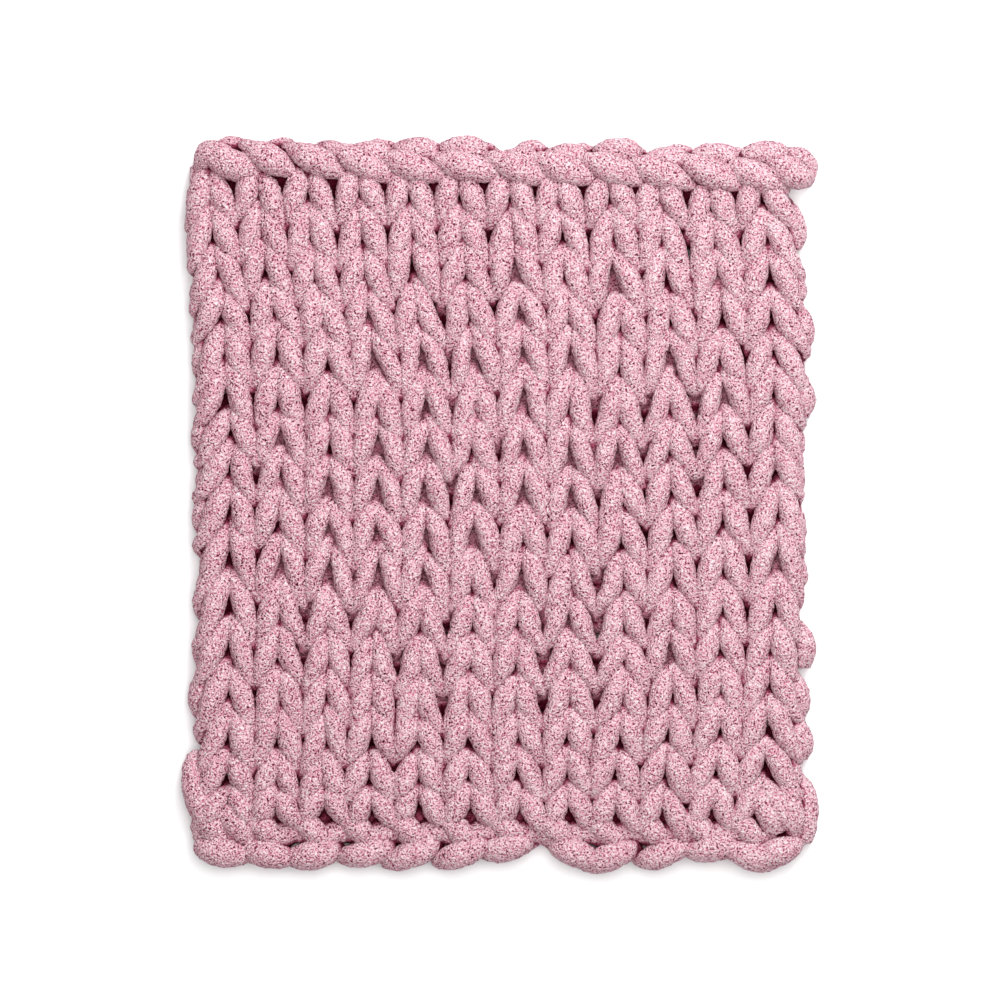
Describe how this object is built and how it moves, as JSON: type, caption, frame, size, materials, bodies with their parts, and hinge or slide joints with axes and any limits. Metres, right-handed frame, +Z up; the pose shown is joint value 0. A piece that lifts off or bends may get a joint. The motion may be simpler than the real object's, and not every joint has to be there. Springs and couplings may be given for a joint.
{
  "type": "chunky knit blanket",
  "caption": "Small throw hand knitted in stockinette from thick chenille yarn, with a chained bind-off edge, a cast-on edge and uneven selvedges, lying flat face up.",
  "frame": {"origin": "middle of the blanket's underside, on the surface that it lies on", "axes": "+Z up out of the knit face, +Y along the wales from the cast-on edge to the bind-off edge, +X to the right as seen from above"},
  "size_m": [0.635, 0.7364, 0.0396],
  "materials": {
    "chenille_pink": "matte pile"
  },
  "bodies": {
    "root": {"knit_blanket": "chenille_pink"}
  },
  "joints": []
}
